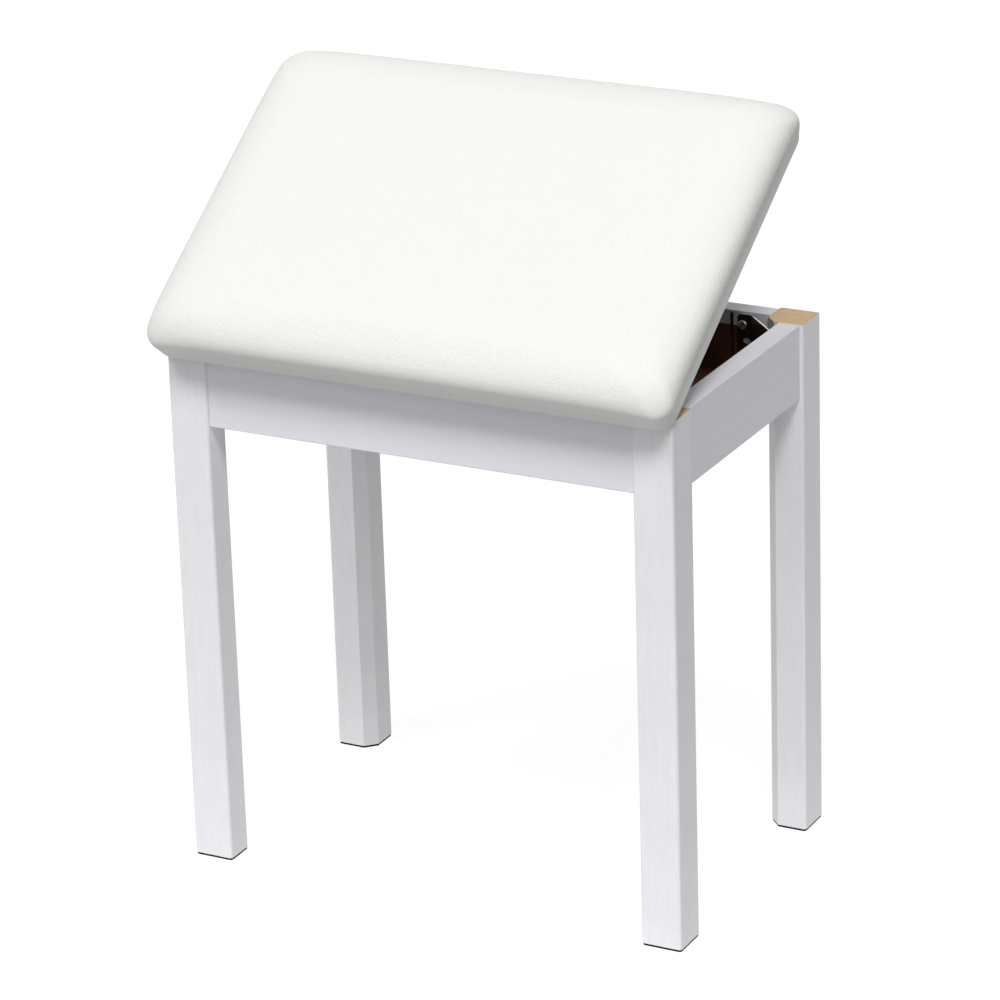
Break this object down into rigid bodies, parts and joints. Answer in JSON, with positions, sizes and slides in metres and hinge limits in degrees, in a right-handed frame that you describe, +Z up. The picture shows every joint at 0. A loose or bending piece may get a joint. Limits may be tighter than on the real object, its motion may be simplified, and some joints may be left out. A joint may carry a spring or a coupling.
{
  "type": "storage piano bench",
  "caption": "Piano bench with square legs, a shallow storage box between the rails and an upholstered seat that opens on a continuous hinge and is held by a lid stay.",
  "frame": {"origin": "middle of the overall box at the floor, with the seat propped open as in the picture", "axes": "+X to the right along the bench, +Y to the back, away from the long side that carries the hinge, +Z up"},
  "size_m": [0.468, 0.3096, 0.6418],
  "materials": {
    "leg_paint": "satin",
    "rail_foil": "satin",
    "brown_hardboard": "matte",
    "beech_dowel": "matte",
    "plywood": "matte",
    "white_leather": "satin",
    "foam": "matte",
    "black_cloth": "matte",
    "foot_rubber": "matte",
    "bumper_rubber": "matte",
    "black_bracket": "satin",
    "zinc_screw": "satin",
    "hinge_steel": "satin",
    "stay_steel": "satin",
    "cap_plastic": "matte"
  },
  "bodies": {
    "frame": {"leg_front_left": "leg_paint", "leg_front_right": "leg_paint", "leg_rear_left": "leg_paint", "leg_rear_right": "leg_paint", "foot_pad_front_left": "foot_rubber", "foot_pad_front_right": "foot_rubber", "foot_pad_rear_left": "foot_rubber", "foot_pad_rear_right": "foot_rubber", "front_rail": "rail_foil", "rear_rail": "rail_foil", "left_rail": "rail_foil", "right_rail": "rail_foil", "storage_floor": "brown_hardboard", "corner_bracket_front_left": "black_bracket", "corner_bracket_front_right": "black_bracket", "corner_bracket_rear_left": "black_bracket", "corner_bracket_rear_right": "black_bracket", "bracket_screws": "zinc_screw", "hanger_bolts": "zinc_screw", "bolt_washers": "zinc_screw", "wing_nuts": "zinc_screw", "rail_dowels": "beech_dowel", "hinge_frame_leaf": "hinge_steel", "hinge_pin": "hinge_steel", "hinge_frame_screws": "hinge_steel", "stay_rail_plate": "stay_steel", "stay_rail_rivet": "stay_steel", "stay_friction_cap": "cap_plastic", "stay_rail_screws": "stay_steel"},
    "seat": {"hinge_seat_leaf": "hinge_steel", "hinge_seat_screws": "hinge_steel", "seat_board": "plywood", "seat_foam": "foam", "seat_cover": "white_leather", "dust_cloth": "black_cloth", "seat_bumpers": "bumper_rubber", "stay_seat_bracket": "stay_steel", "stay_seat_rivet": "stay_steel", "stay_seat_screws": "stay_steel"},
    "stay_lower": {"stay_lower_arm": "stay_steel", "stay_knee_rivet": "stay_steel"},
    "stay_upper": {"stay_upper_arm": "stay_steel"}
  },
  "joints": [
    {"name": "lid_hinge", "type": "hinge", "parent": "frame", "child": "seat", "pos_m": [0, -0.1237, 0.4517], "axis": [1, 0, 0], "range_deg": [-33.8, 41.2]},
    {"name": "stay_lower_pivot", "type": "hinge", "parent": "frame", "child": "stay_lower", "pos_m": [-0.2, -0.0297, 0.4217], "axis": [1, 0, 0], "range_deg": [-33.9, 41.3]},
    {"name": "stay_upper_pivot", "type": "hinge", "parent": "seat", "child": "stay_upper", "pos_m": [-0.198, -0.04391, 0.49429], "axis": [1, 0, 0], "range_deg": [-41.3, 33.9]}
  ],
  "couplings": [
    {"joint": "stay_lower_pivot", "follows": "lid_hinge", "ratio": 1},
    {"joint": "stay_upper_pivot", "follows": "lid_hinge", "ratio": -1}
  ]
}
